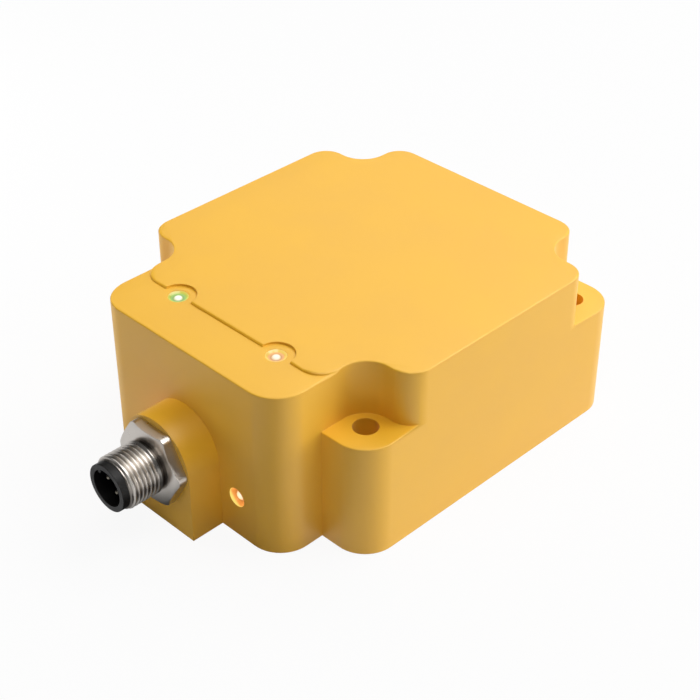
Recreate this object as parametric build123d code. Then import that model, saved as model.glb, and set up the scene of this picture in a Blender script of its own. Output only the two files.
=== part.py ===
from build123d import *
import os
from math import cos, radians, sin

os.makedirs("parts", exist_ok=True)

# Inductive proximity sensor in a square moulded housing with a four-pole M12 plug connector.
# Millimetres. The origin is the centre of the four mounting holes, on the mounting face.
# The connector points along -Y and the sensing face looks along +Z.

# Outside of the housing
body_width = 80.0  # the square that is screwed down, along X and Y
body_height = 40.0
hole_inset = 7.5  # from a side of the square to the middle of a screw hole
hole_diameter = 5.5  # clears an M5 screw
pocket_width = 12.5  # the notch at each corner, from a side to its flank
pocket_floor = 27.2  # height on which a screw head bears
shoulder_share = 0.4  # of the notch's width, which rounds the outer corners of the raised top
edge_break = 0.3  # small break along the outer rims
least_round = 0.5  # upright corners where the wall has used up the outer round
cut_margin = 1.0  # by which a cutting solid stands out of the surface it cuts

# Block at the front that holds the connector and the lamps
block_depth = 12.0  # how far it stands out of the square
block_step = 0.5  # how far its top lies under the sensing face
block_radius = 7.5  # its two upright front corners
boss_wall = 1.8  # round the seat of the seal, which gives the arched boss its width
boss_depth = 8.0
connector_height = 16.0  # axis of the connector above the mounting face

# Walls and the closing plate
wall = 3.0
roof = 2.8
cover_ledge = 1.2  # width of the step that the plate lies on
cover_thickness = 2.4
cover_set_back = 0.2  # the plate stays clear of the surface that is mounted on
cover_clearance = 0.1

# Indicator lamps
lamp_spacing = 30.0  # between the power lamp and the switching lamp
lamp_recess_radius = 4.0  # dished out of the raised top, round each top lens
front_lamp_height = 10.0
lens_radius = 2.2
lens_clearance = 0.05
glow_radius = 0.95  # flat bottom of the dish that the light comes out of
top_dish_depth = 0.4
front_dish_depth = 0.85
lamp_gap = 0.3  # between a light pipe and its lamp

# Connector shell, turned from brass
flange_gap = 0.6  # between the boss and the hexagon, where the seal shows
hex_across_flats = 17.0
hex_turned_diameter = 19.0  # the bar is turned before the flats are milled
hex_thickness = 2.0
neck_radius = 5.35
neck_length = 0.8
thread_radius = 6.0  # M12, drawn plain
thread_length = 7.9
thread_chamfer = 0.45
spigot_radius = 7.0  # the rear end, screwed into the boss
spigot_clearance = 0.05
seal_section = 1.1
seal_clearance = 0.05

# Contact carrier and pins
carrier_radius = 4.85
carrier_clearance = 0.05
carrier_rear_length = 10.0  # behind the socket floor
collar_radius = 5.35
collar_length = 1.7  # stands in front of the shell
socket_radius = 4.15
socket_depth = 8.5
key_width = 1.0
key_reach = 0.75  # how far the key stands into the socket
key_set_back = 0.5
key_angle = 135  # degrees round the connector axis, half way between two contacts
pin_radius = 0.5
pin_circle_radius = 2.5
pin_set_back = 0.5  # from the rim of the collar to the tips
pin_clearance = 0.03

# Boards
board_thickness = 1.6
board_side_gap = 0.8
board_back_gap = 1.0
post_width = 5.0
post_inset = 4.5  # from the edges of the board to the middle of a post
connector_board_width = 16.0
connector_board_rise = 5.0  # above the connector axis
connector_board_gap = 0.5  # behind the edge of the main board
header_pitch = 2.54
header_size = 2.5
header_pin_width = 0.64

# Coil and core
core_side_space = 3.5  # resin between the core and the walls
core_height = 12.0
core_base = 3.5
core_rim = 4.0
core_post_radius = 11.0
former_clearance = 0.3
former_wall = 1.0
winding_clearance = 0.1
winding_tape = 0.2  # between the two windings
winding_set_back = 1.0  # from the edge of the former's flanges

# Parts on the main board
chip_size = 10.0
chip_height = 1.4
chip_legs = 6  # on each side
chip_leg_width = 0.35
chip_leg_reach = 1.0
chip_leg_thickness = 0.2
transistor_width = 6.5
transistor_depth = 3.5
transistor_height = 1.7
transistor_tab = 1.6
capacitor_radius = 3.15
capacitor_height = 5.4
capacitor_foot = 1.0
resistor_length = 2.0
resistor_width = 1.25
resistor_height = 0.55
resistors_in_a_row = 6
part_pitch = 9.0  # between like parts on the board
transistor_row = 14.0  # rows of parts, counted from the front edge of the board
capacitor_row = 27.0
chip_row = 50.0
resistor_pitch = 3.0
led_length = 2.8
led_width = 2.4
led_height = 2.0

# Places that follow from the sizes above
half_body = body_width / 2
flank = half_body - pocket_width
pocket_radius = pocket_width / 2  # the two flanks of a notch run into one round corner
shoulder_radius = shoulder_share * pocket_width
hole_place = half_body - hole_inset
block_front = half_body + block_depth
block_top = body_height - block_step
boss_front = block_front + boss_depth
seal_seat_radius = spigot_radius + seal_section + 2 * seal_clearance
boss_radius = seal_seat_radius + boss_wall
lamp_place = lamp_spacing / 2
cavity_top = body_height - roof
cavity_front = block_front - wall
cover_top = cover_set_back + cover_thickness
hex_back = boss_front + flange_gap
hex_front = hex_back + hex_thickness
shell_front = hex_front + neck_length + thread_length
collar_front = shell_front + collar_length
socket_floor = collar_front - socket_depth
carrier_back = socket_floor - carrier_rear_length
board_top = front_lamp_height - led_height / 2
board_bottom = board_top - board_thickness
board_half_width = flank - wall - board_side_gap
board_front = half_body + 1.5 * led_length + lamp_gap  # two lamps stand in line behind the edge
board_back = half_body - wall - board_back_gap
connector_board_front = board_front - connector_board_gap
connector_board_back = connector_board_front - board_thickness
header_row = board_front - connector_board_back + header_size / 2
core_radius = half_body - wall - core_side_space
core_bottom = cavity_top - core_height

# Frames of the pieces that face forwards: their own Z points out of the front
connector_frame = Plane(origin=(0, 0, connector_height), x_dir=(1, 0, 0), z_dir=(0, -1, 0))


def standing_box(width, length, height):
    """A box that stands on Z = 0, given along X, Y and Z."""
    return Box(width, length, height, align=(Align.CENTER, Align.CENTER, Align.MIN))


def standing_rod(radius, height):
    """A round rod that stands on Z = 0."""
    return Cylinder(radius, height, align=(Align.CENTER, Align.CENTER, Align.MIN))


def turned(*outline):
    """Turns a closed outline of (radius, height) points about the Z axis."""
    return revolve(Plane.XZ * make_face(Polyline(*outline, close=True)), Axis.Z)


def upright(sketch, bottom, top):
    """Raises a flat outline from one height to another."""
    return extrude(Pos(0, 0, bottom) * sketch, top - bottom)


def square_cross(inset):
    """The square with its four corners notched out, all corners sharp."""
    side = body_width - 2 * inset
    arm = 2 * (flank - inset)
    return Rectangle(side, arm) + Rectangle(arm, side)


def notched_outline(inset):
    """The square with its four corners notched out and rounded, drawn further in by the inset."""
    edge = half_body - inset
    outline = square_cross(inset)
    shoulders = [v for v in outline.vertices() if max(abs(v.X), abs(v.Y)) > edge - least_round]
    outline = fillet(shoulders, max(shoulder_radius - inset, least_round))
    corners = [v for v in outline.vertices() if max(abs(v.X), abs(v.Y)) < flank - inset + least_round]
    return fillet(corners, pocket_radius + inset)


def block_outline(inset):
    """The front block seen from above, from the middle of the body to its rounded front."""
    front = block_front - inset
    outline = Pos(0, -front / 2) * Rectangle(2 * (flank - inset), front)
    corners = outline.vertices().sort_by(Axis.Y)[:2]
    return fillet(corners, max(block_radius - inset, least_round))


def rim_broken(solid):
    """Breaks the outer edge of a solid's top face."""
    top = solid.faces().sort_by(Axis.Z)[-1]
    return chamfer(top.outer_wire().edges(), edge_break)


def boss_body():
    """Arched boss: upright sides, and a half round about the connector axis."""
    arch = Pos(0, connector_height) * Circle(boss_radius)
    foot = Pos(0, connector_height / 2) * Rectangle(2 * boss_radius, connector_height)
    return extrude(Plane.XZ.offset(cavity_front) * (arch + foot), boss_front - cavity_front)


def screw_holes():
    """Four through holes for the mounting screws."""
    hole = standing_rod(hole_diameter / 2, pocket_floor + 2 * cut_margin)
    places = [(sx * hole_place, sy * hole_place) for sx in (-1, 1) for sy in (-1, 1)]
    return [Pos(x, y, -cut_margin) * hole for x, y in places]


def lens_frames():
    """Where each lens shows: two in the top and two in the front, power lamp first."""
    frames = {}
    for name, x in (("power", -lamp_place), ("switching", lamp_place)):
        frames[name + "_top"] = Plane(origin=(x, -half_body, block_top))
        frames[name + "_front"] = Plane(origin=(x, -block_front, front_lamp_height), z_dir=(0, -1, 0))
    return frames


def lens_wall(name):
    """Thickness of the wall that a lens sits in."""
    if name.endswith("top"):
        return block_top - cavity_top
    return wall


def lens_holes():
    """Holes that the lenses are pushed into from inside."""
    holes = []
    for name, frame in lens_frames().items():
        hole = standing_rod(lens_radius + lens_clearance, 2 * lens_wall(name))
        holes.append(frame * Pos(0, 0, -lens_wall(name)) * hole)
    return holes


def lamp_recesses():
    """Two round dishes that bring the raised top down to the block round its lenses."""
    recess = standing_rod(lamp_recess_radius, 2 * block_step)
    return [Pos(x, -half_body, block_top) * recess for x in (-lamp_place, lamp_place)]


def connector_hole():
    """Bore in the boss for the spigot, with a counterbore that holds the seal."""
    bore = spigot_radius + spigot_clearance
    seat_floor = boss_front + flange_gap - seal_section - seal_clearance
    return connector_frame * turned(
        (0, cavity_front - cut_margin),
        (bore, cavity_front - cut_margin),
        (bore, seat_floor),
        (seal_seat_radius, seat_floor),
        (seal_seat_radius, boss_front + cut_margin),
        (0, boss_front + cut_margin),
    )


def housing():
    """One moulding: screwed-down square, raised notched top, front block, boss and the hollow."""
    square = RectangleRounded(body_width, body_width, hole_inset)
    body = rim_broken(upright(square, 0, pocket_floor))
    body += rim_broken(upright(block_outline(0), 0, block_top))
    body += rim_broken(upright(notched_outline(0), 0, body_height))
    body += boss_body()
    hollow = upright(square_cross(wall), cover_top, cavity_top)
    hollow += upright(block_outline(wall), cover_top, cavity_top)
    plate_seat = upright(notched_outline(wall - cover_ledge), -cut_margin, cover_top)
    plate_seat += upright(block_outline(wall - cover_ledge), -cut_margin, cover_top)
    body -= hollow + plate_seat
    for cut in screw_holes() + lens_holes() + lamp_recesses() + [connector_hole()]:
        body -= cut
    return body


def post_places():
    """Middles of the posts that carry the main board."""
    x = board_half_width - post_inset
    front = post_inset - board_front
    back = board_back - post_inset
    return [(sx * x, y) for sx in (-1, 1) for y in (front, back)]


def base_cover():
    """Closing plate with four posts that carry the main board."""
    inset = wall - cover_ledge + cover_clearance
    plate = upright(notched_outline(inset), cover_set_back, cover_top)
    plate += upright(block_outline(inset), cover_set_back, cover_top)
    post = standing_box(post_width, post_width, board_bottom - cover_set_back)
    for x, y in post_places():
        plate += Pos(x, y, cover_set_back) * post
    return plate


def circuit_board():
    """Main board, which lies on the four posts."""
    length = board_back + board_front
    board = standing_box(2 * board_half_width, length, board_thickness)
    return Pos(0, (board_back - board_front) / 2, board_bottom) * board


def on_board(x, behind, solid):
    """Stands a part on the main board, at a distance behind the board's front edge."""
    return Pos(x, behind - board_front, board_top) * solid


def sensor_chip():
    """Evaluation chip in a flat square case with legs on its four sides."""
    case = standing_box(chip_size, chip_size, chip_height)
    pitch = chip_size / (chip_legs + 1)
    leg = standing_box(2 * chip_leg_reach, chip_leg_width, chip_leg_thickness)
    for side in range(4):
        for k in range(chip_legs):
            place = (k - (chip_legs - 1) / 2) * pitch
            case += Rot(0, 0, 90 * side) * Pos(chip_size / 2, place, 0) * leg
    return on_board(0, chip_row, case)


def output_transistors():
    """Two power transistors for the switching outputs, each with its cooling tab."""
    case = standing_box(transistor_width, transistor_depth, transistor_height)
    tab = standing_box(transistor_width / 2, 2 * transistor_tab, transistor_height / 5)
    tab = Pos(0, transistor_depth / 2, 0) * tab
    pieces = []
    for k in (-1, 1):
        pieces.append(on_board(k * part_pitch / 2, transistor_row, case + tab))
    return Compound(pieces)


def smoothing_capacitors():
    """Two can capacitors, each on its square foot."""
    foot = standing_box(2 * capacitor_radius, 2 * capacitor_radius, capacitor_foot)
    can = standing_rod(capacitor_radius, capacitor_height)
    return Compound([on_board(k * part_pitch / 2, capacitor_row, foot + can) for k in (-1, 1)])


def chip_resistors():
    """Two rows of chip resistors beside the evaluation chip."""
    chip = standing_box(resistor_width, resistor_length, resistor_height)
    row = chip_size / 2 + chip_leg_reach + resistor_length
    first = chip_row - (resistors_in_a_row - 1) / 2 * resistor_pitch
    pieces = []
    for side in (-1, 1):
        for k in range(resistors_in_a_row):
            pieces.append(on_board(side * row, first + k * resistor_pitch, chip))
    return Compound(pieces)


def lamp_pair(x):
    """The lamp under the top light pipe, and the one that looks out of the front window."""
    case = standing_box(led_width, led_length, led_height)
    upward = on_board(x, board_front - half_body, case)
    forward = on_board(x, led_length / 2, case)
    return Compound([upward, forward])


def lens(name):
    """Clear light pipe from the lamp to its dished face, flush with the outside."""
    if name.endswith("top"):
        dish = top_dish_depth
        pipe_end = block_top - board_top - led_height - lamp_gap
    else:
        dish = front_dish_depth
        pipe_end = block_front - board_front - lamp_gap
    solid = turned(
        (0, -dish),
        (glow_radius, -dish),
        (lens_radius, 0),
        (lens_radius, -pipe_end),
        (0, -pipe_end),
    )
    return lens_frames()[name] * solid


def hexagon():
    """Hexagon flange with its corners left round by the turned bar."""
    flats = RegularPolygon(hex_across_flats / 2, 6, major_radius=False)
    return upright(flats & Circle(hex_turned_diameter / 2), hex_back, hex_front)


def connector_shell():
    """Shell turned in one piece: spigot, hexagon, neck and the barrel that takes the M12 thread."""
    bore = carrier_radius + carrier_clearance
    hex_middle = hex_back + hex_thickness / 2
    thread_back = hex_front + neck_length
    barrel = turned(
        (bore, cavity_front),
        (spigot_radius, cavity_front),
        (spigot_radius, hex_middle),
        (neck_radius, hex_middle),
        (neck_radius, thread_back),
        (thread_radius, thread_back),
        (thread_radius, shell_front - thread_chamfer),
        (thread_radius - thread_chamfer, shell_front),
        (bore, shell_front),
    )
    flange = hexagon() - Pos(0, 0, hex_back) * Cylinder(bore, 3 * hex_thickness)
    return connector_frame * (barrel + flange)


def o_ring():
    """Seal squeezed between the hexagon and the counterbore of the boss."""
    inner = spigot_radius + seal_clearance
    outer = inner + seal_section
    top = hex_back - seal_clearance / 2
    bottom = top - seal_section
    return connector_frame * turned((inner, bottom), (outer, bottom), (outer, top), (inner, top))


def pin_places():
    """Middles of the four contacts, seen along the connector axis: top, left, bottom, right."""
    angles = [90 + 90 * k for k in range(4)]
    return [(pin_circle_radius * cos(radians(a)), pin_circle_radius * sin(radians(a))) for a in angles]


def contact_carrier():
    """Black insert: collar, socket with its coding key, and the body that holds the contacts."""
    body = turned(
        (0, carrier_back),
        (carrier_radius, carrier_back),
        (carrier_radius, shell_front),
        (collar_radius, shell_front),
        (collar_radius, collar_front),
        (socket_radius, collar_front),
        (socket_radius, socket_floor),
        (0, socket_floor),
    )
    key_depth = key_reach + (carrier_radius - socket_radius) / 2
    key = standing_box(key_depth, key_width, socket_depth)
    key_place = socket_radius - key_reach + key_depth / 2
    body += Rot(0, 0, key_angle) * Pos(key_place, 0, socket_floor - key_set_back) * key
    channel = Pos(0, 0, carrier_back) * Cylinder(pin_radius + pin_clearance, 3 * carrier_rear_length)
    for x, y in pin_places():
        body -= Pos(x, y, 0) * channel
    return connector_frame * body


def contact_pin(k):
    """One turned contact, from its tip back to its pad on the small board."""
    pin = standing_rod(pin_radius, collar_front - pin_set_back - connector_board_front)
    x, y = pin_places()[k]
    return connector_frame * Pos(x, y, connector_board_front) * pin


def connector_board():
    """Small upright board that the contacts are soldered onto. It stands on the main board."""
    top = connector_height + connector_board_rise
    board = standing_box(connector_board_width, board_thickness, top - board_top)
    return Pos(0, -(connector_board_front + connector_board_back) / 2, board_top) * board


def header_places():
    """Middles of the four links between the two boards."""
    return [(k - 1.5) * header_pitch for k in range(4)]


def board_header():
    """Plastic strip in the corner between the two boards, which holds the four links."""
    strip = standing_box(4 * header_pitch, header_size, header_size)
    slot = header_pin_width + 2 * pin_clearance
    for x in header_places():
        strip -= Pos(x, -header_size / 4, header_size / 2) * Box(slot, header_size, slot)
        strip -= Pos(x, 0, header_size / 4 + slot / 4) * Box(slot, slot, header_size / 2 + slot / 2)
    return on_board(0, header_row, strip)


def header_pins():
    """Four bent links, each from the face of the small board down to the main board."""
    half = header_size / 2
    flat = half + header_pin_width / 2
    pieces = []
    for x in header_places():
        across = Pos(0, -half + flat / 2, half) * Box(header_pin_width, flat, header_pin_width)
        down = standing_box(header_pin_width, header_pin_width, half + header_pin_width / 2)
        pieces.append(on_board(x, header_row, across + down))
    return Compound(pieces)


def ferrite_core():
    """Open pot core: base, outer rim and a middle post, all against the roof."""
    groove_floor = core_bottom + core_base
    rim = core_radius - core_rim
    return turned(
        (0, core_bottom),
        (core_radius, core_bottom),
        (core_radius, cavity_top),
        (rim, cavity_top),
        (rim, groove_floor),
        (core_post_radius, groove_floor),
        (core_post_radius, cavity_top),
        (0, cavity_top),
    )


def spool_levels():
    """Heights of the former: its underside, the chamber's floor and ceiling, and its top."""
    bottom = core_bottom + core_base + former_clearance
    return bottom, bottom + former_wall, cavity_top - former_wall, cavity_top


def coil_former():
    """Spool dropped into the groove of the core."""
    inner = core_post_radius + former_clearance
    hub = inner + former_wall
    outer = core_radius - core_rim - former_clearance
    bottom, floor, ceiling, top = spool_levels()
    return turned(
        (inner, bottom),
        (outer, bottom),
        (outer, floor),
        (hub, floor),
        (hub, ceiling),
        (outer, ceiling),
        (outer, top),
        (inner, top),
    )


def winding(layer):
    """A full winding between the flanges: layer 0 lies on the hub, layer 1 round it."""
    hub = core_post_radius + former_clearance + former_wall + winding_clearance
    outer = core_radius - core_rim - former_clearance - winding_set_back
    depth = (outer - hub - winding_tape) / 2
    inner = hub + layer * (depth + winding_tape)
    bottom, floor, ceiling, top = spool_levels()
    high = ceiling - winding_clearance
    return turned((inner, floor), (inner + depth, floor), (inner + depth, high), (inner, high))


nodes = {
    "housing": housing(),
    "base_cover": base_cover(),
    "circuit_board": circuit_board(),
    "sensor_chip": sensor_chip(),
    "output_transistors": output_transistors(),
    "smoothing_capacitors": smoothing_capacitors(),
    "chip_resistors": chip_resistors(),
    "power_leds": lamp_pair(-lamp_place),
    "switching_leds": lamp_pair(lamp_place),
    "power_top_lens": lens("power_top"),
    "power_front_lens": lens("power_front"),
    "switching_top_lens": lens("switching_top"),
    "switching_front_lens": lens("switching_front"),
    "connector_shell": connector_shell(),
    "o_ring": o_ring(),
    "contact_carrier": contact_carrier(),
    "connector_board": connector_board(),
    "board_header": board_header(),
    "header_pins": header_pins(),
    "ferrite_core": ferrite_core(),
    "coil_former": coil_former(),
    "transmit_winding": winding(0),
    "receive_winding": winding(1),
}
for number in range(4):
    nodes[f"contact_pin_{number + 1}"] = contact_pin(number)

for name, shape in nodes.items():
    export_step(shape, f"parts/{name}.step")
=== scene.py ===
import math

import bmesh
import bpy
from mathutils import Matrix, Vector


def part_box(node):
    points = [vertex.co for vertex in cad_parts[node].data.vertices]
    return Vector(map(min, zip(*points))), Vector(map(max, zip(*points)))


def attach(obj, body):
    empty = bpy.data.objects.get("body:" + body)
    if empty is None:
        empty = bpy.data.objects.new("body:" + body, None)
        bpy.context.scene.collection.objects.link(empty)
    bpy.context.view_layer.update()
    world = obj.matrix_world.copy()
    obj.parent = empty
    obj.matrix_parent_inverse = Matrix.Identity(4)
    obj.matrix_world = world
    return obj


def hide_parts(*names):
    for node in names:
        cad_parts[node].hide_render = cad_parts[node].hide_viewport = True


# Inductive proximity sensor: a square yellow housing with notched corners, four lamps and an M12 plug.
# The model is in metres, with the mounting face at Z = 0 and the plug pointing along -Y.
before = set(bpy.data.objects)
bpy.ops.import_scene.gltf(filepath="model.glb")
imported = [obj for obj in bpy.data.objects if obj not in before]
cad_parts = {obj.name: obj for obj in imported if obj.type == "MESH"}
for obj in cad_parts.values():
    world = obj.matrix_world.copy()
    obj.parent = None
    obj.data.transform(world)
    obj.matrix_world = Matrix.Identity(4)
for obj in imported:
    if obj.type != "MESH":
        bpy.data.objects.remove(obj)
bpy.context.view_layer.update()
mm = 0.001


# Camera, floor and light
# A product shot: a long lens from above the front right corner, on a white table that keeps a faint shadow.
# The soft lamps stand high, behind and low on the right. The front gets only what the pale table gives back,
# and a little from a weak lamp near it on the left.
def linear(code):
    """A colour written as an sRGB hex value, as the linear RGBA that Blender computes with."""
    channels = [int(code[i : i + 2], 16) / 255 for i in (1, 3, 5)]
    return tuple(c / 12.92 if c <= 0.04045 else ((c + 0.055) / 1.055) ** 2.4 for c in channels) + (1.0,)


def add_node(tree, kind, inputs=None, **settings):
    """Adds a node with its settings, and gives its inputs their values or links."""
    node = tree.nodes.new(kind)
    for name, value in settings.items():
        setattr(node, name, value)
    for key, value in (inputs or {}).items():
        if isinstance(value, bpy.types.NodeSocket):
            tree.links.new(value, node.inputs[key])
        else:
            node.inputs[key].default_value = value
    return node


def empty_tree(holder):
    """The node tree of a material or a world, with nothing in it."""
    holder.use_nodes = True
    holder.node_tree.nodes.clear()
    return holder.node_tree


def white_share(tree, to_camera, to_mirrors):
    """How much of a surface is plain white, for the camera and for what gloss and clear parts show."""
    path = add_node(tree, "ShaderNodeLightPath").outputs
    inputs = {0: path["Is Glossy Ray"], 1: path["Is Transmission Ray"]}
    either = add_node(tree, "ShaderNodeMath", inputs, operation="MAXIMUM")
    mirrored = add_node(tree, "ShaderNodeMath", {0: either.outputs[0], 1: to_mirrors}, operation="MULTIPLY")
    seen = add_node(tree, "ShaderNodeMath", {0: path["Is Camera Ray"], 1: to_camera}, operation="MULTIPLY")
    inputs = {0: seen.outputs[0], 1: mirrored.outputs[0]}
    return add_node(tree, "ShaderNodeMath", inputs, operation="MAXIMUM").outputs[0]


camera = bpy.data.objects.new("camera", bpy.data.cameras.new("camera"))
bpy.context.scene.collection.objects.link(camera)
camera.location = (0.203844, -0.208224, 0.219330)
line_of_sight = Vector((-1, 1, -1))
camera.rotation_euler = line_of_sight.to_track_quat("-Z", "Y").to_euler()
camera.data.lens = 80.78
camera.data.sensor_width = 36
camera.data.clip_start = 0.01
camera.data.clip_end = 10
bpy.context.scene.camera = camera
bpy.context.scene.view_settings.view_transform = "Standard"

half_floor = 1.5
floor_level = -0.05 * mm
floor = bpy.data.objects.new("floor", bpy.data.meshes.new("floor"))
corners = [(x * half_floor, y * half_floor, floor_level) for x, y in ((-1, -1), (1, -1), (1, 1), (-1, 1))]
floor.data.from_pydata(corners, [], [(0, 1, 2, 3)])
bpy.context.scene.collection.objects.link(floor)
paper = bpy.data.materials.new("white_paper")
tree = empty_tree(paper)
lit = add_node(tree, "ShaderNodeBsdfDiffuse", {"Color": linear("#DADADA")})
# For gloss alone the paper is painted: white behind and to the right, pale grey ahead of the plug, and dark
# in a slanting band under the plug, where no card lies. This painted reflection lines the round metal with
# dark and keeps the shaded faces deep. The camera sees the white paper alone.
painted_dark_level = 0.05
grey_level = 0.8
place = add_node(tree, "ShaderNodeTexCoord").outputs["Object"]
inputs = {0: place, 1: (1, 1, 0)}
slant = add_node(tree, "ShaderNodeVectorMath", inputs, operation="DOT_PRODUCT").outputs["Value"]
inputs = {"Value": slant, "From Min": -30 * mm, "From Max": -8 * mm, "To Min": painted_dark_level, "To Max": 1.0}
to_right = add_node(tree, "ShaderNodeMapRange", inputs, interpolation_type="SMOOTHSTEP").outputs[0]
inputs = {0: place, 1: (0.7, 1, 0)}
ahead = add_node(tree, "ShaderNodeVectorMath", inputs, operation="DOT_PRODUCT").outputs["Value"]
inputs = {"Value": ahead, "From Min": -64 * mm, "From Max": -85 * mm}
inputs.update({"To Min": painted_dark_level, "To Max": grey_level})
in_front = add_node(tree, "ShaderNodeMapRange", inputs, interpolation_type="SMOOTHSTEP").outputs[0]
painted_gloss_level = add_node(tree, "ShaderNodeMath", {0: to_right, 1: in_front}, operation="MAXIMUM").outputs[0]
seen = add_node(tree, "ShaderNodeLightPath").outputs["Is Camera Ray"]
level = add_node(tree, "ShaderNodeMath", {0: painted_gloss_level, 1: seen}, operation="MAXIMUM").outputs[0]
white = add_node(tree, "ShaderNodeEmission", {"Color": (1, 1, 1, 1), "Strength": level})
inputs = {0: white_share(tree, to_camera=0.92, to_mirrors=1.0), 1: lit.outputs[0], 2: white.outputs[0]}
mixed = add_node(tree, "ShaderNodeMixShader", inputs)
add_node(tree, "ShaderNodeOutputMaterial", {"Surface": mixed.outputs[0]})
floor.data.materials.append(paper)

room = bpy.data.worlds.new("pale_room")
bpy.context.scene.world = room
tree = empty_tree(room)
dim = add_node(tree, "ShaderNodeBackground", {"Color": (1, 1, 1, 1), "Strength": 0.02})
white = add_node(tree, "ShaderNodeBackground", {"Color": (1, 1, 1, 1), "Strength": 1.0})
inputs = {0: white_share(tree, to_camera=1.0, to_mirrors=0.05), 1: dim.outputs[0], 2: white.outputs[0]}
mixed = add_node(tree, "ShaderNodeMixShader", inputs)
add_node(tree, "ShaderNodeOutputWorld", {"Surface": mixed.outputs[0]})

# Each lamp: its bearing from the front, counted towards the right, its height in degrees, its distance and
# width in metres, and its watts. None is seen by the camera, and the near lamp isn't mirrored either.
lamps = {
    "high_front_lamp": (45, 65, 0.9, 0.45, 2.5),
    "overhead_lamp": (135, 65, 0.9, 0.45, 2.8),
    "high_back_lamp": (185, 52, 0.9, 0.45, 2.6),
    "right_back_lamp": (135, 40, 0.9, 0.45, 1.5),
    "left_back_lamp": (225, 40, 0.9, 0.45, 0.9),
    "low_right_lamp": (135, 6, 0.9, 0.45, 5.0),
    "near_left_lamp": (290, 12, 0.3, 0.15, 0.50),
}
for name, (bearing, height, distance, width, watts) in lamps.items():
    around, up = math.radians(bearing), math.radians(height)
    towards = Vector((math.sin(around) * math.cos(up), -math.cos(around) * math.cos(up), math.sin(up)))
    lamp = bpy.data.objects.new(name, bpy.data.lights.new(name, "AREA"))
    bpy.context.scene.collection.objects.link(lamp)
    lamp.location = distance * towards
    lamp.rotation_euler = (-towards).to_track_quat("-Z", "Y").to_euler()
    lamp.visible_camera = False
    lamp.visible_glossy = name != "near_left_lamp"
    lamp.data.size = width
    lamp.data.energy = watts


# Housing
# One moulding in yellow PBT: the square that is screwed down, the notched top with its sensing face, the
# block with the lamps and the arched boss. Moulded in a spark-eroded tool, so it has a fine satin grain.
def smooth_copy(node_name, name, sharp_degrees):
    """A copy of a CAD node with its points merged, shaded smooth except at corners sharper than an angle."""
    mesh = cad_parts[node_name].data.copy()
    mesh.name = name
    mesh.materials.clear()
    shape = bmesh.new()
    shape.from_mesh(mesh)
    bmesh.ops.remove_doubles(shape, verts=shape.verts, dist=0.002 * mm)
    for edge in shape.edges:
        edge.smooth = edge.calc_face_angle(0.0) < math.radians(sharp_degrees)
    for face in shape.faces:
        face.smooth = True
    shape.to_mesh(mesh)
    shape.free()
    piece = bpy.data.objects.new(name, mesh)
    bpy.context.scene.collection.objects.link(piece)
    weigh = piece.modifiers.new("flat_faces_stay_flat", "WEIGHTED_NORMAL")
    weigh.keep_sharp = True
    weigh.weight = 100
    return piece


def shaded_material(name, colours, patch, roughness, **finish):
    """A material that clouds between two colours and between two roughnesses, in patches of a real size.

    Returns it with its tree, its Principled shader and the Object coordinates, so that a grain can be added.
    """
    material = bpy.data.materials.new(name)
    tree = empty_tree(material)
    inputs = {name.replace("_", " "): value for name, value in finish.items()}
    shader = add_node(tree, "ShaderNodeBsdfPrincipled", inputs)
    add_node(tree, "ShaderNodeOutputMaterial", {"Surface": shader.outputs[0]})
    place = add_node(tree, "ShaderNodeTexCoord").outputs["Object"]
    noise = add_node(tree, "ShaderNodeTexNoise", {"Vector": place, "Scale": 1 / patch}).outputs["Fac"]
    inputs = {0: noise, 6: linear(colours[0]), 7: linear(colours[1])}
    colour = add_node(tree, "ShaderNodeMix", inputs, data_type="RGBA").outputs[2]
    tree.links.new(colour, shader.inputs["Base Color"])
    low, high = roughness
    inputs = {"Value": noise, "From Min": 0.3, "From Max": 0.7, "To Min": low, "To Max": high}
    dull = add_node(tree, "ShaderNodeMapRange", inputs).outputs[0]
    tree.links.new(dull, shader.inputs["Roughness"])
    return material, tree, shader, place


# PBT is hard and slightly waxy, so it has a broad soft sheen. The grain of a tenth of a millimetre is drawn
# 0.25 mm wide so that it shows. The edges look rounded over 0.15 mm, as moulded ones do.
housing_pbt, tree, shader, place = shaded_material(
    "moulded_yellow_pbt", ("#EAAF18", "#F1B822"), 15 * mm, (0.46, 0.52), IOR=1.55, Specular_IOR_Level=0.8,
    Sheen_Weight=0.15, Sheen_Roughness=0.4,
)
grain = add_node(tree, "ShaderNodeTexNoise", {"Vector": place, "Scale": 1 / (0.25 * mm), "Detail": 3.0})
rounded = add_node(tree, "ShaderNodeBevel", {"Radius": 0.15 * mm}, samples=4)
inputs = {"Height": grain.outputs["Fac"], "Distance": 0.003 * mm, "Normal": rounded.outputs[0]}
bump = add_node(tree, "ShaderNodeBump", inputs)
tree.links.new(bump.outputs[0], shader.inputs["Normal"])
housing = smooth_copy("housing", "housing_moulding", 50)
housing.data.materials.append(housing_pbt)
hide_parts("housing")
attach(housing, "root")


# Closing plate
# A moulded plate in the same yellow PBT with its posts, laid on the ledge under the housing and bonded all
# round. It comes from a plainer mould, so it has a coarser grain of 0.4 mm and a duller face.
def wear(node_name, material):
    """Gives a CAD node, which keeps its mesh, a material."""
    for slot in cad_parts[node_name].material_slots:
        slot.material = material


cover_pbt, tree, shader, place = shaded_material(
    "moulded_yellow_pbt_plate", ("#DEA417", "#E8B01F"), 12 * mm, (0.46, 0.56), IOR=1.5
)
grain = add_node(tree, "ShaderNodeTexNoise", {"Vector": place, "Scale": 1 / (0.4 * mm), "Detail": 3.0})
bump = add_node(tree, "ShaderNodeBump", {"Height": grain.outputs["Fac"], "Distance": 0.008 * mm})
tree.links.new(bump.outputs[0], shader.inputs["Normal"])
wear("base_cover", cover_pbt)


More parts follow.
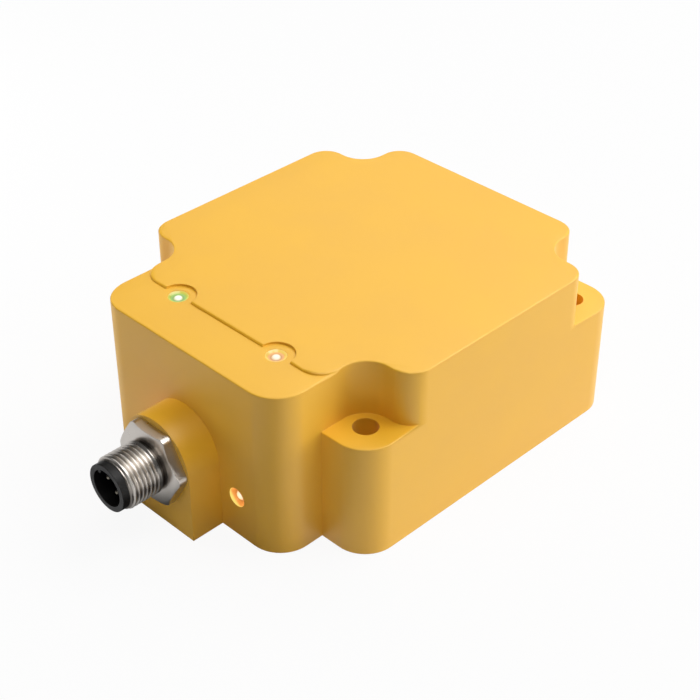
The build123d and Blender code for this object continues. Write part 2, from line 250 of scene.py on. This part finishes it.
# Lamp lenses
# Four clear polycarbonate light pipes pressed in from inside, each with a dished face. The power lamps on the
# left are lit green, the switching lamps on the right amber: a white-hot spot in a coloured, glossy ring.
def turned(outline, segments):
    """Turns an outline of (radius, height) points in millimetres about Z. Radius 0 closes it in a pole."""
    shape = bmesh.new()
    rings = []
    for radius, height in outline:
        count = segments if radius else 1
        angles = [2 * math.pi * k / segments for k in range(count)]
        points = [(radius * math.cos(a) * mm, radius * math.sin(a) * mm, height * mm) for a in angles]
        rings.append([shape.verts.new(point) for point in points])
    for low, high in zip(rings, rings[1:]):
        for k in range(segments):
            near = [low[k % len(low)], low[(k + 1) % len(low)]]
            far = [high[(k + 1) % len(high)], high[k % len(high)]]
            # At a pole both points of a ring are the same one, and the face is a triangle.
            shape.faces.new(list(dict.fromkeys(near + far)))
    return shape


def facing(centre, outwards):
    """The place of a turned piece whose own Z points outwards and whose own X stays level."""
    z = Vector(outwards)
    x = Vector((1, 0, 0))
    return Matrix.Translation(centre) @ Matrix((x, z.cross(x), z)).transposed().to_4x4()


def finished(shape, name, place, material, sharp_degrees=32):
    """Makes a bmesh a piece in its place, with points merged, faces outwards and crisp corners."""
    bmesh.ops.remove_doubles(shape, verts=shape.verts, dist=0.001 * mm)
    bmesh.ops.recalc_face_normals(shape, faces=shape.faces)
    bmesh.ops.transform(shape, matrix=place, verts=shape.verts)
    shape.normal_update()
    for face in shape.faces:
        face.smooth = True
    for edge in shape.edges:
        edge.smooth = edge.calc_face_angle(0.0) < math.radians(sharp_degrees)
    piece = bpy.data.objects.new(name, bpy.data.meshes.new(name))
    shape.to_mesh(piece.data)
    shape.free()
    piece.data.materials.append(material)
    bpy.context.scene.collection.objects.link(piece)
    return piece


# Clear polycarbonate lit from behind: its own colour is dark, its glow comes in rings and its skin is glossy.
def lit_polycarbonate(name, centre, outwards, lean, body, rings):
    """Lays the colours of the glow in rings about a point that leans off the middle.

    Each ring has its share of the way from that point to the far edge of the lens.
    """
    glass, tree, shader, place = shaded_material(name, body, 1 * mm, (0.10, 0.16), IOR=1.58)
    shader.inputs["Emission Strength"].default_value = 1.0
    across = [1 - abs(axis) for axis in outwards]
    hot_spot = centre + Vector(lean) * mm
    away = add_node(tree, "ShaderNodeVectorMath", {0: place, 1: hot_spot}, operation="SUBTRACT")
    flat = add_node(tree, "ShaderNodeVectorMath", {0: away.outputs[0], 1: across}, operation="MULTIPLY")
    distance = add_node(tree, "ShaderNodeVectorMath", {0: flat.outputs[0]}, operation="LENGTH")
    furthest = (lens_radius + Vector(lean).length) * mm
    share = add_node(tree, "ShaderNodeMapRange", {"Value": distance.outputs["Value"], "From Max": furthest})
    glow = add_node(tree, "ShaderNodeValToRGB", {0: share.outputs[0]})
    while len(glow.color_ramp.elements) < len(rings):
        glow.color_ramp.elements.new(1.0)
    for element, (position, colour) in zip(glow.color_ramp.elements, rings):
        element.position = position
        element.color = linear(colour)
    tree.links.new(glow.outputs[0], shader.inputs["Emission Color"])
    waves = add_node(tree, "ShaderNodeTexNoise", {"Vector": place, "Scale": 1 / (0.6 * mm)})
    bump = add_node(tree, "ShaderNodeBump", {"Height": waves.outputs["Fac"], "Distance": 0.006 * mm})
    tree.links.new(bump.outputs[0], shader.inputs["Normal"])
    return glass


lens_radius = 2.2
floor_radius = 1.6
floor_rise = 0.03
wall_radius = 2.0
rim_radius = 2.08
rim_break = 0.05
lamp_radius = 0.95
lamp_rise = 0.3
top_dish = 0.4
top_lean = (0.12, -0.12, 0)
front_dish = 0.85
front_lean = (0.3, 0, 0.28)
green_body = ("#10180A", "#161F0C")
amber_body = ("#1F1408", "#281A0A")
top_green = (
    (0, "#FFFFFF"), (0.26, "#FFFFF0"), (0.37, "#C8D28C"), (0.43, "#7E9C4E"), (0.54, "#88B44C"),
    (0.68, "#9ABE50"), (0.78, "#C6CE5A"), (0.93, "#E4CC5C"), (1, "#DDB44C"),
)
top_amber = (
    (0, "#FFFFF2"), (0.26, "#FFF6DC"), (0.37, "#EAC490"), (0.43, "#C28C52"), (0.54, "#E6A25A"),
    (0.68, "#F0B05E"), (0.78, "#F4CE64"), (0.93, "#F6D26C"), (1, "#F0BE5A"),
)
front_green = (
    (0, "#FBFFE0"), (0.25, "#EEF6C0"), (0.36, "#C6D890"), (0.48, "#70983E"), (0.62, "#7AA444"),
    (0.79, "#92C254"), (0.87, "#D2E67C"), (1, "#E6F28C"),
)
front_amber = (
    (0, "#FFFCE0"), (0.25, "#FFF0C4"), (0.36, "#FBD09C"), (0.48, "#CC7430"), (0.62, "#D47C36"),
    (0.79, "#F69846"), (0.87, "#FFDC70"), (1, "#FFF684"),
)
lenses = {
    "power_top_lens": ((0, 0, 1), top_dish, top_lean, green_body, top_green, "power_lens"),
    "switching_top_lens": ((0, 0, 1), top_dish, top_lean, amber_body, top_amber, "switching_lens"),
    "power_front_lens": ((0, -1, 0), front_dish, front_lean, green_body, front_green, "power_lens"),
    "switching_front_lens": ((0, -1, 0), front_dish, front_lean, amber_body, front_amber, "switching_lens"),
}
for name, (outwards, dish, lean, body, rings, slot) in lenses.items():
    low, high = (Vector(corner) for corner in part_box(name))
    centre = (low + high) / 2
    if outwards[2]:
        centre.z = high.z
        length = (high.z - low.z) / mm
    else:
        centre.y = low.y
        length = (high.y - low.y) / mm
    # From the middle outwards: the domed lamp in the dish, the floor of the dish, its wall and the rim.
    outline = [(0, lamp_rise - dish)]
    for share in (0.3, 0.55, 0.75, 0.9):
        outline.append((lamp_radius * share, lamp_rise * math.sqrt(1 - share * share) - dish))
    outline += [
        (lamp_radius, -dish),
        (floor_radius, floor_rise - dish),
        (wall_radius, -rim_break),
        (rim_radius, 0),
        (lens_radius - rim_break, 0),
        (lens_radius, -rim_break),
        (lens_radius, -length),
        (0, -length),
    ]
    glass = lit_polycarbonate(name + "_polycarbonate", centre, outwards, lean, body, rings)
    lens = finished(turned(outline, 48), name + "_lit", facing(centre, outwards), glass)
    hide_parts(name)
    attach(lens, "root")


# Connector shell
# Turned and milled from brass bar in one piece, then nickel-plated: the hexagon with its turned corners,
# an undercut neck and the barrel with the M12 x 1 thread.
shell_low, shell_high = (Vector(corner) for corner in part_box("connector_shell"))
plug_axis = (shell_low.z + shell_high.z) / 2
plug_place = facing(Vector((0, 0, plug_axis)), (0, -1, 0))
hex_flats = (shell_high.z - shell_low.z) / mm
hex_corners = (shell_high.x - shell_low.x) / mm
shell_front = -shell_low.y / mm
shell_back = -shell_high.y / mm
barrel_radius = 6.0
barrel_length = 7.9
barrel_break = 0.15
neck_radius = 5.35
neck_length = 0.8
hex_thickness = 2.0
bore_radius = 4.9
spigot_radius = 7.0
barrel_back = shell_front - barrel_length
hex_front = barrel_back - neck_length
hex_back = hex_front - hex_thickness

# Nickel over brass is a warm grey metal, satin from the turning: rings 0.12 mm apart round the axis. The
# roots of the thread and the neck are painted darker by their distance from the axis: painted shade.
nickel, tree, shader, place = shaded_material(
    "nickel_plated_turned_brass", ("#CDC7C0", "#D9D3CC"), 2.5 * mm, (0.27, 0.33), Metallic=1.0
)
bright = shader.inputs["Base Color"].links[0].from_socket
# Painted shade: nearer the axis than 5.8 mm the nickel turns a darker grey, in the thread roots and the neck.
away = add_node(tree, "ShaderNodeVectorMath", {0: place, 1: (0, 0, plug_axis)}, operation="SUBTRACT")
across = add_node(tree, "ShaderNodeVectorMath", {0: away.outputs[0], 1: (1, 0, 1)}, operation="MULTIPLY")
reach = add_node(tree, "ShaderNodeVectorMath", {0: across.outputs[0]}, operation="LENGTH").outputs["Value"]
shade_free_share = add_node(tree, "ShaderNodeMapRange", {"Value": reach, "From Min": 5.4 * mm, "From Max": 5.8 * mm})
inputs = {0: shade_free_share.outputs[0], 6: linear("#88817A"), 7: bright}
painted_root_shade = add_node(tree, "ShaderNodeMix", inputs, data_type="RGBA").outputs[2]
tree.links.new(painted_root_shade, shader.inputs["Base Color"])
squeezed = add_node(tree, "ShaderNodeMapping", {"Vector": place, "Scale": (0.02, 1.0, 0.02)})
rings = add_node(tree, "ShaderNodeTexNoise", {"Vector": squeezed.outputs[0], "Scale": 1 / (0.12 * mm)})
bump = add_node(tree, "ShaderNodeBump", {"Height": rings.outputs["Fac"], "Distance": 0.001 * mm})
tree.links.new(bump.outputs[0], shader.inputs["Normal"])

# The thread is a grid with one edge round the barrel and the other along it, which follows the helix. Each
# point is pulled in towards the root between the crests, and the cut fades out before the neck.
thread_sizes = {
    "Radius": barrel_radius * mm,
    "Depth": 0.5 * mm,
    "Pitch": 1.0 * mm,
    "Length": 7.7 * mm,
    "Chamfer": 0.65 * mm,
    "Fade": 0.7 * mm,
}
# The grid covers the thread and one turn more. Its rows don't fall on whole turns, so the points on the two
# sides of the helix seam don't meet, and the mesh is open along it.
around_count = 72
row_count = 145
tree = bpy.data.node_groups.new("m12_thread", "GeometryNodeTree")
for name, value in thread_sizes.items():
    tree.interface.new_socket(name, in_out="INPUT", socket_type="NodeSocketFloat").default_value = value
tree.interface.new_socket("Finish", in_out="INPUT", socket_type="NodeSocketMaterial")
tree.interface.new_socket("Thread", in_out="OUTPUT", socket_type="NodeSocketGeometry")
given = add_node(tree, "NodeGroupInput").outputs
inputs = {"Size X": 1.0, "Size Y": 1.0, "Vertices X": around_count + 1, "Vertices Y": row_count}
grid = add_node(tree, "GeometryNodeMeshGrid", inputs)
point = add_node(tree, "GeometryNodeInputPosition")
point = add_node(tree, "ShaderNodeSeparateXYZ", {0: point.outputs[0]}).outputs
turn = add_node(tree, "ShaderNodeMath", {0: point[0], 1: 0.5}, operation="ADD").outputs[0]
down = add_node(tree, "ShaderNodeMath", {0: point[1], 1: 0.5}, operation="ADD").outputs[0]
span = add_node(tree, "ShaderNodeMath", {0: given["Length"], 1: given["Pitch"]}, operation="ADD").outputs[0]
lead = add_node(tree, "ShaderNodeMath", {0: turn, 1: given["Pitch"]}, operation="MULTIPLY").outputs[0]
start = add_node(tree, "ShaderNodeMath", {0: lead, 1: given["Pitch"]}, operation="SUBTRACT").outputs[0]
along = add_node(tree, "ShaderNodeMath", {0: down, 1: span, 2: start}, operation="MULTIPLY_ADD").outputs[0]
inputs = {"Value": along, "Min": 0.0, "Max": given["Length"]}
along = add_node(tree, "ShaderNodeClamp", inputs).outputs[0]
past = add_node(tree, "ShaderNodeMath", {0: along, 1: lead}, operation="SUBTRACT").outputs[0]
turns = add_node(tree, "ShaderNodeMath", {0: past, 1: given["Pitch"]}, operation="DIVIDE").outputs[0]
wave = add_node(tree, "ShaderNodeMath", {0: turns, 1: 0.5}, operation="PINGPONG").outputs[0]
inputs = {"Value": wave, "From Min": 0.1, "From Max": 0.37, "To Min": 0.0, "To Max": 1.0}
flank = add_node(tree, "ShaderNodeMapRange", inputs).outputs[0]
left = add_node(tree, "ShaderNodeMath", {0: given["Length"], 1: along}, operation="SUBTRACT").outputs[0]
inputs = {0: left, 1: given["Fade"]}
fade = add_node(tree, "ShaderNodeMath", inputs, operation="DIVIDE", use_clamp=True).outputs[0]
cut = add_node(tree, "ShaderNodeMath", {0: flank, 1: fade}, operation="MULTIPLY").outputs[0]
cut = add_node(tree, "ShaderNodeMath", {0: cut, 1: given["Depth"]}, operation="MULTIPLY").outputs[0]
helix = add_node(tree, "ShaderNodeMath", {0: given["Radius"], 1: cut}, operation="SUBTRACT").outputs[0]
inputs = {0: given["Radius"], 1: given["Chamfer"]}
front = add_node(tree, "ShaderNodeMath", inputs, operation="SUBTRACT").outputs[0]
cone = add_node(tree, "ShaderNodeMath", {0: front, 1: along}, operation="ADD").outputs[0]
radius = add_node(tree, "ShaderNodeMath", {0: helix, 1: cone}, operation="MINIMUM").outputs[0]
angle = add_node(tree, "ShaderNodeMath", {0: turn, 1: 2 * math.pi}, operation="MULTIPLY").outputs[0]
cosine = add_node(tree, "ShaderNodeMath", {0: angle}, operation="COSINE").outputs[0]
sine = add_node(tree, "ShaderNodeMath", {0: angle}, operation="SINE").outputs[0]
x = add_node(tree, "ShaderNodeMath", {0: radius, 1: cosine}, operation="MULTIPLY").outputs[0]
y = add_node(tree, "ShaderNodeMath", {0: radius, 1: sine}, operation="MULTIPLY").outputs[0]
spot = add_node(tree, "ShaderNodeCombineXYZ", {0: x, 1: y, 2: along}).outputs[0]
bent = add_node(tree, "GeometryNodeSetPosition", {"Geometry": grid.outputs[0], "Position": spot})
merged = add_node(tree, "GeometryNodeMergeByDistance", {0: bent.outputs[0], "Distance": 0.001 * mm})
real = add_node(tree, "GeometryNodeRealizeInstances", {0: merged.outputs[0]})
inputs = {"Geometry": real.outputs[0], "Material": given["Finish"]}
dressed = add_node(tree, "GeometryNodeSetMaterial", inputs)
add_node(tree, "NodeGroupOutput", {0: dressed.outputs[0]})

blank = bpy.data.objects.new("thread_blank", bpy.data.meshes.new("thread_blank"))
bpy.context.scene.collection.objects.link(blank)
cutter = blank.modifiers.new("cut_thread", "NODES")
cutter.node_group = tree
for item in tree.interface.items_tree:
    if item.name in thread_sizes:
        cutter[item.identifier] = thread_sizes[item.name]
    elif item.name == "Finish":
        cutter[item.identifier] = nickel
thread = bpy.data.meshes.new_from_object(blank.evaluated_get(bpy.context.evaluated_depsgraph_get()))
bpy.data.objects.remove(blank)
# The grid's own Z runs backwards from the front edge of the barrel.
thread.transform(Matrix.Translation((0, 0, shell_front * mm)) @ Matrix.Rotation(math.pi, 4, "X"))

outline = [
    (barrel_radius, shell_front - thread_sizes["Length"] / mm),
    (barrel_radius, barrel_back + barrel_break),
    (barrel_radius - barrel_break, barrel_back),
    (neck_radius, barrel_back),
    (neck_radius, hex_front),
    (spigot_radius, hex_back),
    (spigot_radius, shell_back),
    (bore_radius, shell_back),
    (bore_radius, shell_front),
    (barrel_radius - thread_sizes["Chamfer"] / mm, shell_front),
]
shell = turned(outline, around_count)
shell.from_mesh(thread)

# The hexagon: six flats with turned corners. A cone on the front takes the corners back, so that each flat
# ends in an arc. Its rim reaches back round the seal, almost to the boss. It overlaps the barrel a little.
corner_cone = math.radians(26)
chamfer_circle = hex_flats / 2 - 0.1
hex_break = 0.1
rim_back = -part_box("o_ring")[1][1] / mm + 0.08
seal_room = 8.25
overlap = 0.3
half_flat = math.acos(hex_flats / hex_corners)
steps = 6
outside = []
for flat in range(6):
    middle = math.radians(60 * flat + 30)
    for step in range(-steps, steps + 1):
        angle = step / steps * half_flat
        outside.append((hex_flats / 2 / math.cos(angle), middle + angle))
    outside.append((hex_corners / 2, middle + math.radians(30)))
levels = []
for reach, angle in outside:
    taken_back = (reach - chamfer_circle) * math.tan(corner_cone)
    profile = [
        (spigot_radius - overlap, hex_back),
        (seal_room, hex_back),
        (seal_room, rim_back),
        (reach - hex_break, rim_back),
        (reach, rim_back + hex_break),
        (reach, hex_front - taken_back),
        (chamfer_circle, hex_front),
        (neck_radius - overlap, hex_front),
    ]
    points = [(r * math.cos(angle) * mm, r * math.sin(angle) * mm, level * mm) for r, level in profile]
    levels.append([shell.verts.new(point) for point in points])
for one, other in zip(levels, levels[1:] + levels[:1]):
    for k in range(len(one)):
        shell.faces.new([one[k - 1], other[k - 1], other[k], one[k]])
connector = finished(shell, "connector_shell_turned", plug_place, nickel)
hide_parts("connector_shell")
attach(connector, "root")


# Seal
# A black rubber ring pressed flat between the hexagon and the boss, which shows as the dark line between
# them. Moulded rubber is dull, with a fine bloom on it in patches of a millimetre.
rubber, tree, shader, place = shaded_material(
    "moulded_black_rubber", ("#191817", "#262421"), 1 * mm, (0.50, 0.65), Specular_IOR_Level=0.4
)
grain = add_node(tree, "ShaderNodeTexNoise", {"Vector": place, "Scale": 1 / (0.2 * mm)})
bump = add_node(tree, "ShaderNodeBump", {"Height": grain.outputs["Fac"], "Distance": 0.01 * mm})
tree.links.new(bump.outputs[0], shader.inputs["Normal"])
wear("o_ring", rubber)


# Contact insert
# One moulding in black glass-filled polyamide, pressed into the shell: the collar that stands out of it,
# the socket with its coding key, and the body that grips the four contacts.
black_nylon, tree, shader, place = shaded_material(
    "moulded_black_polyamide", ("#100F0E", "#171615"), 1.5 * mm, (0.36, 0.46), IOR=1.53,
    Specular_IOR_Level=0.22,
)
grain = add_node(tree, "ShaderNodeTexNoise", {"Vector": place, "Scale": 1 / (0.15 * mm), "Detail": 3.0})
rounded = add_node(tree, "ShaderNodeBevel", {"Radius": 0.2 * mm}, samples=4)
inputs = {"Height": grain.outputs["Fac"], "Distance": 0.004 * mm, "Normal": rounded.outputs[0]}
bump = add_node(tree, "ShaderNodeBump", inputs)
tree.links.new(bump.outputs[0], shader.inputs["Normal"])
insert = smooth_copy("contact_carrier", "contact_insert", 35)
insert.data.materials.append(black_nylon)
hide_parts("contact_carrier")
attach(insert, "root")


# Contacts
# Four turned brass pins, gold-plated, with rounded tips. They stand deep in the socket and reach back to the
# small board. The gold is drawn as a dull pale grey, painted shade for the deep socket, with fine turning
# rings.
gold, tree, shader, place = shaded_material(
    "gold_plated_contact", ("#A8A294", "#B6AE9E"), 1 * mm, (0.34, 0.46), Metallic=1.0
)
squeezed = add_node(tree, "ShaderNodeMapping", {"Vector": place, "Scale": (0.05, 1.0, 0.05)})
rings = add_node(tree, "ShaderNodeTexNoise", {"Vector": squeezed.outputs[0], "Scale": 1 / (0.1 * mm)})
bump = add_node(tree, "ShaderNodeBump", {"Height": rings.outputs["Fac"], "Distance": 0.003 * mm})
tree.links.new(bump.outputs[0], shader.inputs["Normal"])
set_back = 1.5
contact_count = 4
tip_share = 0.7
for number in range(1, contact_count + 1):
    low, high = (Vector(corner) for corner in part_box(f"contact_pin_{number}"))
    low.y += set_back * mm
    tip = Vector(((low.x + high.x) / 2, low.y, (low.z + high.z) / 2))
    length = (high.y - low.y) / mm
    pin_radius = (high.x - low.x) / 2 / mm
    angles = [math.radians(degrees) for degrees in (25, 50, 72, 90)]
    tip_length = tip_share * pin_radius
    outline = [(0, 0)] + [(pin_radius * math.sin(a), tip_length * (math.cos(a) - 1)) for a in angles]
    outline += [(pin_radius, -length), (0, -length)]
    contact = finished(turned(outline, 24), f"contact_{number}", facing(tip, (0, -1, 0)), gold)
    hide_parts(f"contact_pin_{number}")
    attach(contact, "root")


# Boards
# Glass-fibre laminate with green solder mask over the copper, cut by a router. The weave of 0.6 mm shows
# through as a faint check, and tracks 4 mm apart lift the mask a little.
laminate, tree, shader, place = shaded_material(
    "solder_masked_laminate", ("#125A2B", "#1B7039"), 5 * mm, (0.30, 0.42), IOR=1.55, Coat_Weight=0.3
)
weave = add_node(tree, "ShaderNodeTexChecker", {"Vector": place, "Scale": 1 / (0.6 * mm)})
woven = add_node(tree, "ShaderNodeBump", {"Height": weave.outputs["Fac"], "Distance": 0.01 * mm})
inputs = {"Vector": place, "Scale": 1 / (4 * mm), "Mortar Size": 0.04}
tracks = add_node(tree, "ShaderNodeTexBrick", inputs)
inputs = {"Height": tracks.outputs["Fac"], "Distance": 0.035 * mm, "Normal": woven.outputs[0]}
bump = add_node(tree, "ShaderNodeBump", inputs)
tree.links.new(bump.outputs[0], shader.inputs["Normal"])
wear("circuit_board", laminate)
wear("connector_board", laminate)


# Chip, transistors and header
# Bought-in parts cased in black epoxy, which is matt with a sparkle of its silica filling. They are soldered
# to the boards.
epoxy, tree, shader, place = shaded_material(
    "moulded_black_epoxy", ("#141415", "#212123"), 0.6 * mm, (0.50, 0.62), IOR=1.55
)
grain = add_node(tree, "ShaderNodeTexNoise", {"Vector": place, "Scale": 1 / (0.12 * mm)})
bump = add_node(tree, "ShaderNodeBump", {"Height": grain.outputs["Fac"], "Distance": 0.01 * mm})
tree.links.new(bump.outputs[0], shader.inputs["Normal"])
for name in ("sensor_chip", "output_transistors", "board_header"):
    wear(name, epoxy)


# Smoothing capacitors
# Two cans drawn from aluminium sheet, soldered to the main board. The metal is satin, with upright drawing
# lines 0.15 mm apart.
aluminium, tree, shader, place = shaded_material(
    "drawn_aluminium", ("#C4C6C9", "#D9DBDD"), 2 * mm, (0.24, 0.36), Metallic=1.0
)
squeezed = add_node(tree, "ShaderNodeMapping", {"Vector": place, "Scale": (1.0, 1.0, 0.03)})
lines = add_node(tree, "ShaderNodeTexNoise", {"Vector": squeezed.outputs[0], "Scale": 1 / (0.15 * mm)})
bump = add_node(tree, "ShaderNodeBump", {"Height": lines.outputs["Fac"], "Distance": 0.004 * mm})
tree.links.new(bump.outputs[0], shader.inputs["Normal"])
wear("smoothing_capacitors", aluminium)


# Chip resistors
# Printed on alumina and glazed black, and soldered to the main board in two rows. They are small, dark and
# glossy, with a slightly wavy skin.
glaze, tree, shader, place = shaded_material(
    "glazed_resistor", ("#15161A", "#24262C"), 0.5 * mm, (0.20, 0.30), IOR=1.6, Coat_Weight=0.4
)
waves = add_node(tree, "ShaderNodeTexNoise", {"Vector": place, "Scale": 1 / (0.3 * mm)})
bump = add_node(tree, "ShaderNodeBump", {"Height": waves.outputs["Fac"], "Distance": 0.01 * mm})
tree.links.new(bump.outputs[0], shader.inputs["Normal"])
wear("chip_resistors", glaze)


# Lamps on the board
# Surface-mounted lamps in white reflector cases of filled nylon, which is dense and pale. A fine grain of
# 0.15 mm keeps the face satin.
lamp_case, tree, shader, place = shaded_material(
    "white_reflector_nylon", ("#E9E9E2", "#F7F7F2"), 0.8 * mm, (0.30, 0.42), IOR=1.53
)
grain = add_node(tree, "ShaderNodeTexNoise", {"Vector": place, "Scale": 1 / (0.15 * mm)})
bump = add_node(tree, "ShaderNodeBump", {"Height": grain.outputs["Fac"], "Distance": 0.006 * mm})
tree.links.new(bump.outputs[0], shader.inputs["Normal"])
wear("power_leds", lamp_case)
wear("switching_leds", lamp_case)


# Header pins
# Four bent links of square brass wire between the boards, tinned: a soft grey metal with a few dull patches
# of solder.
tin, tree, shader, place = shaded_material(
    "tinned_brass", ("#BFC1C1", "#D8D9D7"), 0.6 * mm, (0.30, 0.44), Metallic=1.0
)
waves = add_node(tree, "ShaderNodeTexNoise", {"Vector": place, "Scale": 1 / (0.25 * mm)})
bump = add_node(tree, "ShaderNodeBump", {"Height": waves.outputs["Fac"], "Distance": 0.01 * mm})
tree.links.new(bump.outputs[0], shader.inputs["Normal"])
wear("header_pins", tin)


# Ferrite core
# An open pot core under the sensing face, pressed from ferrite powder, sintered and left unground. It is
# dark grey, hard and finely gritty.
ferrite, tree, shader, place = shaded_material(
    "sintered_ferrite", ("#37383A", "#4A4B4D"), 1.2 * mm, (0.48, 0.64), IOR=1.9
)
grit = add_node(tree, "ShaderNodeTexNoise", {"Vector": place, "Scale": 1 / (0.15 * mm), "Detail": 4.0})
bump = add_node(tree, "ShaderNodeBump", {"Height": grit.outputs["Fac"], "Distance": 0.02 * mm})
tree.links.new(bump.outputs[0], shader.inputs["Normal"])
wear("ferrite_core", ferrite)


# Coil former
# A spool moulded in natural nylon and set in the core. The nylon is cream, slightly waxy and faintly
# mottled.
natural_nylon, tree, shader, place = shaded_material(
    "moulded_natural_nylon", ("#E3DDCC", "#F0ECE0"), 4 * mm, (0.34, 0.46), IOR=1.53, Subsurface_Weight=0.1
)
grain = add_node(tree, "ShaderNodeTexNoise", {"Vector": place, "Scale": 1 / (0.3 * mm)})
bump = add_node(tree, "ShaderNodeBump", {"Height": grain.outputs["Fac"], "Distance": 0.006 * mm})
tree.links.new(bump.outputs[0], shader.inputs["Normal"])
wear("coil_former", natural_nylon)


# Windings
# Enamelled copper wire laid turn beside turn on the former. The real wire is 0.2 mm thick and is drawn
# 0.5 mm thick, so that the turns show: red copper metal under a clear, glossy enamel.
wire = 0.5 * mm
copper, tree, shader, place = shaded_material(
    "enamelled_copper_wire", ("#B06236", "#CC7C50"), 1 * mm, (0.22, 0.34), Metallic=1.0, Coat_Weight=0.6
)
level = add_node(tree, "ShaderNodeSeparateXYZ", {0: place}).outputs[2]
turns = add_node(tree, "ShaderNodeMath", {0: level, 1: 2 * math.pi / wire}, operation="MULTIPLY").outputs[0]
round_wire = add_node(tree, "ShaderNodeMath", {0: turns}, operation="SINE").outputs[0]
bump = add_node(tree, "ShaderNodeBump", {"Height": round_wire, "Distance": 0.1 * mm})
tree.links.new(bump.outputs[0], shader.inputs["Normal"])
wear("transmit_winding", copper)
wear("receive_winding", copper)
